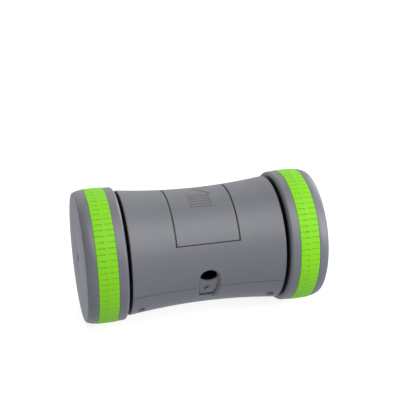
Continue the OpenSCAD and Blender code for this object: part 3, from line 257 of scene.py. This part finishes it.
def moulded(name, colour, roughness, wear_and_highlight=1.25):
    """Moulded plastic: fine spark-eroded grain, faint tone changes, edges made a little lighter by wear and
    by a painted highlight, and painted shade that darkens narrow gaps nearly to black.
    """
    edge = 0.00025
    # How far the painted gap shade reaches, how much of it shows, and how dark it is
    gap_reach = 0.007
    painted_gap_share = 0.95
    painted_gap_shade = 0.06
    grain_depth = 0.000012
    s = Surface(name)
    clouds = s.tones(s.spread(s.noise(30.0)), colour, 0.95, 1.05)
    specks = s.tones(s.spread(s.noise(1500.0), start=0.35, stop=0.65), colour, 0.93, 1.07)
    # Sharp edges made lighter in patches: partly wear, partly a painted highlight along the edges
    normal, worn_and_lit_edges = s.edges(edge)
    patchy_wear_and_highlight = s.times(worn_and_lit_edges, s.spread(s.noise(160.0, 3.0), 0.35, 1.0))
    tone = s.mix(patchy_wear_and_highlight, s.mix(0.5, clouds, specks), shade(colour, wear_and_highlight))
    # Narrow gaps and cuts painted nearly black: painted shade where these gaps fall into shadow
    s.set("Base Color", s.mix(s.times(s.painted_shade_mask(gap_reach), painted_gap_share), tone, shade(colour, painted_gap_shade)))
    s.set("Roughness", s.spread(s.noise(420.0, 3.0), roughness - 0.02, roughness + 0.03))
    s.set("Normal", s.bump(s.noise(2300.0, 3.0), grain_depth, normal))
    return s.material


def rubber(name, colour):
    """Matt tyre rubber: faint mottling, a soft skin, and cuts slightly darkened with painted shade."""
    cut_reach = 0.0012
    painted_cut_share = 0.12
    painted_cut_shade = 0.45
    skin_depth = 0.00002
    s = Surface(name)
    clouds = s.tones(s.spread(s.noise(45.0, 3.0)), colour, 0.94, 1.06)
    specks = s.tones(s.spread(s.noise(1200.0), start=0.35, stop=0.65), colour, 0.94, 1.05)
    tone = s.mix(0.5, clouds, specks)
    # The cuts are darkened a little: painted shade in the grooves
    s.set("Base Color", s.mix(s.times(s.painted_shade_mask(cut_reach), painted_cut_share), tone, shade(colour, painted_cut_shade)))
    s.set("Roughness", s.spread(s.noise(500.0, 3.0), 0.46, 0.58))
    s.set("Specular IOR Level", 0.2)
    s.set("Normal", s.bump(s.noise(1700.0, 4.0), skin_depth))
    return s.material


def metal(name, colour, roughness, stretch=None):
    """Worked metal: streaks or a fine even grain, and a slightly uneven polish."""
    grain_depth = 0.000008
    s = Surface(name)
    s.set("Metallic", 1.0)
    s.set("Base Color", s.tones(s.spread(s.noise(260.0, 3.0)), colour, 0.9, 1.05))
    s.set("Roughness", s.spread(s.noise(900.0, 3.0, stretch), roughness - 0.08, roughness + 0.1))
    s.set("Normal", s.bump(s.noise(2600.0, 2.0, stretch), grain_depth))
    return s.material


def laminate(name, colour):
    """A circuit board: glossy resist over a faint woven ground."""
    weave_depth = 0.00001
    s = Surface(name)
    weave = s.times(s.noise(1500.0, 0.0, (1.0, 1.0, 0.1)), s.noise(1500.0, 0.0, (0.1, 1.0, 1.0)))
    s.set("Base Color", s.tones(s.spread(weave, start=0.15, stop=0.4), colour, 0.85, 1.15))
    s.set("Roughness", s.spread(s.noise(300.0), 0.25, 0.4))
    s.set("Normal", s.bump(weave, weave_depth))
    return s.material


def make_materials():
    """Every material, under the name of the record's slot that it finishes."""
    return {
        "shell_grey": moulded("shell_grey", GREY, 0.44),
        "lid_grey": moulded("lid_grey", GREY, 0.44),
        "wheel_grey": moulded("wheel_grey", GREY, 0.42),
        "slider_grey": moulded("slider_grey", GREY, 0.4),
        "bin_dark": moulded("bin_dark", DARK, 0.5),
        "button_dark": moulded("button_dark", DARK, 0.5),
        "tyre_green": rubber("tyre_green", GREEN),
        "gear_white": moulded("gear_white", NYLON, 0.38, wear_and_highlight=1.05),
        "screw_dark": metal("screw_dark", shade(STEEL, 0.12), 0.4),
        "screw_steel": metal("screw_steel", STEEL, 0.3),
        "shaft_steel": metal("shaft_steel", STEEL, 0.22, (0.05, 1.0, 1.0)),
        "motor_steel": metal("motor_steel", shade(STEEL, 0.9), 0.34, (0.1, 1.0, 1.0)),
        "contact_steel": metal("contact_steel", shade(STEEL, 1.1), 0.25),
        "bush_brass": metal("bush_brass", BRASS, 0.3),
        "cell_jacket": moulded("cell_jacket", CELL, 0.3),
        "board_green": laminate("board_green", BOARD),
        "chip_black": moulded("chip_black", shade(DARK, 1.4), 0.45),
        "lead_black": moulded("lead_black", DARK, 0.4),
    }


def view_direction(azimuth, elevation):
    """Unit vector from the object towards a viewer: azimuth 0 is in front, degrees."""
    a = math.radians(azimuth)
    e = math.radians(elevation)
    return Vector((math.sin(a) * math.cos(e), -math.cos(a) * math.cos(e), math.sin(e)))


def facing(direction):
    """The turn that points a camera or a light against a direction."""
    return direction.to_track_quat("Z", "Y").to_euler()


def add_object(name, data):
    """A new object in the scene."""
    thing = bpy.data.objects.new(name, data)
    bpy.context.scene.collection.objects.link(thing)
    return thing


def make_camera():
    """The camera at the photograph's viewpoint."""
    data = bpy.data.cameras.new("camera")
    data.lens = CAMERA_LENS
    data.sensor_width = CAMERA_SENSOR
    data.shift_x, data.shift_y = CAMERA_SHIFT
    data.clip_start = CAMERA_NEAREST
    camera = add_object("camera", data)
    back = view_direction(CAMERA_AZIMUTH, CAMERA_ELEVATION)
    camera.location = Vector((0.0, 0.0, AXIS_Z)) + back * CAMERA_DISTANCE
    camera.rotation_euler = facing(back)
    bpy.context.scene.camera = camera


def make_light(name, azimuth, elevation, spread, strength):
    """A distant soft light that shines from one direction."""
    data = bpy.data.lights.new(name, "SUN")
    data.energy = strength
    data.angle = math.radians(spread)
    light = add_object(name, data)
    light.rotation_euler = facing(view_direction(azimuth, elevation))


def make_lamp(azimuth, elevation, distance, width, watts):
    """A round soft lamp close by, whose light falls off across the object."""
    data = bpy.data.lights.new("lamp", "AREA")
    data.shape = "DISK"
    data.size = width
    data.energy = watts
    lamp = add_object("lamp", data)
    lamp.visible_camera = False
    towards = view_direction(azimuth, elevation)
    lamp.location = Vector((WHEEL_OUT, 0.0, AXIS_Z)) + towards * distance
    lamp.rotation_euler = facing(towards)


def make_floor():
    """A wide pale floor. It shows, but the surround lights the object from below in its place."""
    mesh = bpy.data.meshes.new("floor")
    half = FLOOR_HALF
    corners = [(-half, -half, 0.0), (half, -half, 0.0), (half, half, 0.0), (-half, half, 0.0)]
    mesh.from_pydata(corners, [], [(0, 1, 2, 3)])
    floor = add_object("floor", mesh)
    floor.visible_diffuse = False
    floor.visible_glossy = False
    floor_white = Surface("floor_white")
    floor_white.set("Base Color", (FLOOR_GREY, FLOOR_GREY, FLOOR_GREY, 1.0))
    floor_white.set("Roughness", 0.9)
    floor_white.set("Specular IOR Level", 0.0)
    floor_white.set("Emission Color", WHITE)
    floor_white.set("Emission Strength", FLOOR_GLOW)
    mesh.materials.append(floor_white.material)


def make_surround():
    """Soft light from all round, whose colour depends on the height that it comes from."""
    world = bpy.data.worlds.new("studio")
    world.use_nodes = True
    nodes = world.node_tree.nodes
    links = world.node_tree.links
    axes = nodes.new("ShaderNodeSeparateXYZ")
    links.new(nodes.new("ShaderNodeTexCoord").outputs["Generated"], axes.inputs[0])
    height = nodes.new("ShaderNodeMapRange")
    links.new(axes.outputs["Z"], height.inputs["Value"])
    height.inputs["From Min"].default_value = -1.0
    fade = nodes.new("ShaderNodeValToRGB")
    links.new(height.outputs["Result"], fade.inputs["Fac"])
    stops = fade.color_ramp.elements
    while len(stops) < len(SURROUND):
        stops.new(0.5)
    for stop, (level, colour) in zip(stops, SURROUND):
        stop.position = (level + 1.0) / 2.0
        stop.color = colour
    links.new(fade.outputs["Color"], nodes["Background"].inputs["Color"])
    bpy.context.scene.world = world


def make_stage():
    """Floor, surround and lights."""
    make_floor()
    make_surround()
    bpy.context.scene.view_settings.view_transform = "Standard"
    for name, settings in LIGHTS.items():
        make_light(name, *settings)
    make_lamp(*LAMP)


def dress(node, material):
    """Gives a CAD node one material."""
    mesh = NODES[node].data
    mesh.materials.clear()
    mesh.materials.append(material)


def rounded(corners, steps=6):
    """An outline of (x, r) points from corners (x, r, rounding), each rounding a true arc."""
    points = []
    count = len(corners)
    for i, (x, r, size) in enumerate(corners):
        here = Vector((x, r))
        if size == 0.0:
            points.append(here)
            continue
        before = Vector(corners[i - 1][:2])
        after = Vector(corners[(i + 1) % count][:2])
        to_before = (before - here).normalized()
        to_after = (after - here).normalized()
        half_angle = to_before.angle(to_after) / 2
        reach = size / math.tan(half_angle)
        centre = here + (to_before + to_after).normalized() * (size / math.sin(half_angle))
        start = here + to_before * reach - centre
        stop = here + to_after * reach - centre
        sweep = start.angle_signed(stop)
        for k in range(steps + 1):
            angle = -sweep * k / steps
            turn = Vector((
                start.x * math.cos(angle) - start.y * math.sin(angle),
                start.x * math.sin(angle) + start.y * math.cos(angle),
            ))
            points.append(centre + turn)
    return points


def around(x, r, angle):
    """A point at a distance r from the wheels' axis."""
    return (x, r * math.cos(angle), AXIS_Z + r * math.sin(angle))


def add_loops(bm, loops):
    """Faces between closed loops of points, each loop joined to the next and the last to the first."""
    verts = [[bm.verts.new(point) for point in loop] for loop in loops]
    for i, loop in enumerate(verts):
        after = verts[(i + 1) % len(verts)]
        for k in range(len(loop)):
            m = (k + 1) % len(loop)
            bm.faces.new((loop[k], loop[m], after[m], after[k]))


def add_box(bm, low, high, turn):
    """A box beside the wheels' axis, given by x, sideways and outward extents, turned about the axis."""
    corners = [(x, y, z) for x in (low[0], high[0]) for y in (low[1], high[1]) for z in (low[2], high[2])]
    cos = math.cos(turn)
    sin = math.sin(turn)
    verts = [bm.verts.new((x, y * cos - z * sin, AXIS_Z + y * sin + z * cos)) for x, y, z in corners]
    for quad in ((0, 1, 3, 2), (4, 6, 7, 5), (0, 4, 5, 1), (2, 3, 7, 6), (0, 2, 6, 4), (1, 5, 7, 3)):
        bm.faces.new([verts[k] for k in quad])


def add_rod(bm, x_from, x_to, radius, centre):
    """A closed rod along X, at a (y, z) place beside the wheels' axis."""
    angles = [2 * math.pi * k / ROD_STEPS for k in range(ROD_STEPS)]
    ends = []
    for x in (x_from, x_to):
        ends.append([
            bm.verts.new((
                x,
                centre[0] + radius * math.cos(angle),
                AXIS_Z + centre[1] + radius * math.sin(angle),
            ))
            for angle in angles
        ])
    for k in range(ROD_STEPS):
        m = (k + 1) % ROD_STEPS
        bm.faces.new((ends[0][k], ends[0][m], ends[1][m], ends[1][k]))
    bm.faces.new(ends[0])
    bm.faces.new(ends[1])


def lathe(outline):
    """A ring of revolution about the wheels' axis, from a closed outline of (x, r) points."""
    bm = bmesh.new()
    angles = [2 * math.pi * i / WHEEL_STEPS for i in range(WHEEL_STEPS)]
    add_loops(bm, [[around(p.x, p.y, angle) for p in outline] for angle in angles])
    return bm


def finish_mesh(bm, hand, name, material, node):
    """Turns the right wheel's mesh into a smooth piece of either wheel, which stands for a CAD node."""
    if hand == "left":
        for v in bm.verts:
            v.co.x = -v.co.x
            v.co.y = -v.co.y
    bmesh.ops.recalc_face_normals(bm, faces=bm.faces)
    mesh = bpy.data.meshes.new(name)
    bm.to_mesh(mesh)
    bm.free()
    mesh.materials.append(material)
    mesh.shade_smooth()
    mesh.set_sharp_from_angle(angle=math.radians(CRISP_ANGLE))
    piece = add_object(name, mesh)
    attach(piece, hand + "_wheel")
    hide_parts(node)
    return piece


def make_wheel_dish(hand, material, recess_painted_shade):
    """Outer face, crowned outer rim, drum, hub and webs, with soft moulded edges, and the hub recess given
    a dark material as painted shade.
    """
    inner = WHEEL_OUT - FACE_T
    recess_end = WHEEL_OUT - HUB_RECESS_DEPTH
    screw_bore_r = HUB_SCREW_R + BORE_PLAY
    crown = []
    for i in range(CROWN_STEPS - 1, 0, -1):
        share = i / CROWN_STEPS
        crown.append((TYRE_OUT + (WHEEL_OUT - TYRE_OUT) * share, RIM_R - CROWN * share ** 2, 0.0))
    bm = lathe(rounded([
        (WHEEL_IN, AXLE_R + FIT, 0.0),
        (inner, AXLE_R + FIT, 0.0),
        (inner, screw_bore_r, 0.0),
        (recess_end, screw_bore_r, 0.0),
        (recess_end, HUB_RECESS_R, RECESS_ROUND),
        (WHEEL_OUT, HUB_RECESS_R, RECESS_ROUND),
        (WHEEL_OUT, RIM_R - CROWN, FACE_ROUND),
        *crown,
        (TYRE_OUT + FIT, RIM_R, RIM_ROUND),
        (TYRE_OUT + FIT, DRUM_R, 0.0),
        (TYRE_IN, DRUM_R, 0.0),
        (TYRE_IN, DRUM_IN_R, 0.0),
        (inner, DRUM_IN_R, INSIDE_ROUND),
        (inner, HUB_R, INSIDE_ROUND),
        (WHEEL_IN, HUB_R, HUB_ROUND),
    ]))
    for i in range(WEB_COUNT):
        low = (TYRE_IN, -WEB_T / 2, HUB_R - LAP)
        high = (inner + LAP, WEB_T / 2, DRUM_IN_R + LAP)
        add_box(bm, low, high, 2 * math.pi * i / WEB_COUNT)
    for i in range(BOSS_COUNT):
        angle = 2 * math.pi * (i / BOSS_COUNT + 0.5 / WEB_COUNT)
        place = (-BOSS_CIRCLE_R * math.sin(angle), BOSS_CIRCLE_R * math.cos(angle))
        add_rod(bm, WHEEL_IN + BACK_T, inner + LAP, BOSS_R, place)
    face = finish_mesh(bm, hand, hand + "_wheel_face", material, hand + "_wheel_dish")
    # The hub recess's faces take the dark material: painted shade inside the recess
    face.data.materials.append(recess_painted_shade)
    for polygon in face.data.polygons:
        off_axis = math.hypot(polygon.center.y, polygon.center.z - AXIS_Z)
        if off_axis < HUB_RECESS_R and abs(polygon.center.x) > inner:
            polygon.material_index = 1


def make_wheel_back(hand, material):
    """Inner rim and back plate, with a broad rounding towards the drum."""
    spigot_in_r = DRUM_IN_R - SPIGOT_T
    bm = lathe(rounded([
        (WHEEL_IN, HUB_R + BORE_PLAY, 0.0),
        (WHEEL_IN + BACK_T, HUB_R + BORE_PLAY, 0.0),
        (WHEEL_IN + BACK_T, spigot_in_r, 0.0),
        (BACK_END, spigot_in_r, 0.0),
        (BACK_END, DRUM_IN_R - FIT, 0.0),
        (TYRE_IN - FIT, DRUM_IN_R - FIT, 0.0),
        (TYRE_IN - FIT, RIM_R, RIM_ROUND),
        (WHEEL_IN, RIM_R - BACK_FALL, BACK_ROUND),
    ], steps=10))
    finish_mesh(bm, hand, hand + "_wheel_rim", material, hand + "_wheel_back")


def smooth_step(value):
    """Rises softly from 0 to 1 as the value does, and stays level outside."""
    value = min(1.0, max(0.0, value))
    return value * value * (3 - 2 * value)


def tread_outline():
    """The tyre's outline, with points across the tread where the cuts change depth."""
    edge = rounded([
        (TYRE_IN, DRUM_R + FIT, 0.0),
        (TYRE_IN, TYRE_R, TREAD_ROUND),
        (TYRE_OUT, TYRE_R, TREAD_ROUND),
        (TYRE_OUT, DRUM_R + FIT, 0.0),
    ], steps=4)
    middle = (TYRE_IN + TYRE_OUT) / 2
    half_width = (TYRE_OUT - TYRE_IN) / 2
    from_middle = [LUG_RIB / 2 + GROOVE_END * share for share in (0.0, 0.33, 0.67, 1.0)]
    from_middle += [half_width - TREAD_ROUND - GROOVE_FADE * share for share in (0.25, 0.5, 0.75, 1.0)]
    across = sorted([middle - x for x in from_middle] + [middle + x for x in from_middle])
    half = len(edge) // 2
    return edge[:half] + [Vector((x, TYRE_R)) for x in across] + edge[half:]


def tread_drop(x, r, station):
    """How far the tread lies below its full round at a place across it and at a station of a cut."""
    middle = (TYRE_IN + TYRE_OUT) / 2
    half_width = (TYRE_OUT - TYRE_IN) / 2
    off_middle = abs(x - middle)
    bottom = max(0.0, math.cos(math.pi * max(-0.5, min(0.5, station)))) ** GROOVE_POWER
    row = smooth_step((off_middle - LUG_RIB / 2) / GROOVE_END)
    to_edge = smooth_step((half_width - off_middle - TREAD_ROUND) / GROOVE_FADE)
    cut = GROOVE_DEPTH * bottom * row * (GROOVE_EDGE + (1 - GROOVE_EDGE) * to_edge)
    crown = TREAD_CROWN * (off_middle / half_width) ** 2
    return (cut + crown) * smooth_step((r - (TYRE_R - SIDE_DEPTH)) / SIDE_BLEND)


def make_tyre(hand, material):
    """The rubber band, with soft-edged cuts."""
    outline = tread_outline()
    loops = []
    for lug in range(LUG_COUNT):
        for station in GROOVE_STATIONS:
            angle = 2 * math.pi * (lug + 0.5) / LUG_COUNT + station * GROOVE_W / TYRE_R
            loops.append([around(p.x, p.y - tread_drop(p.x, p.y, station), angle) for p in outline])
    bm = bmesh.new()
    add_loops(bm, loops)
    finish_mesh(bm, hand, hand + "_tread", material, hand + "_tyre")


make_camera()
make_stage()
materials = make_materials()
for part in frame["record"]["subparts"]:
    dress(part["node"], materials[part["material_slot"]])
for side in ("right", "left"):
    make_wheel_dish(side, materials["wheel_grey"], materials["bin_dark"])
    make_wheel_back(side, materials["wheel_grey"])
    make_tyre(side, materials["tyre_green"])
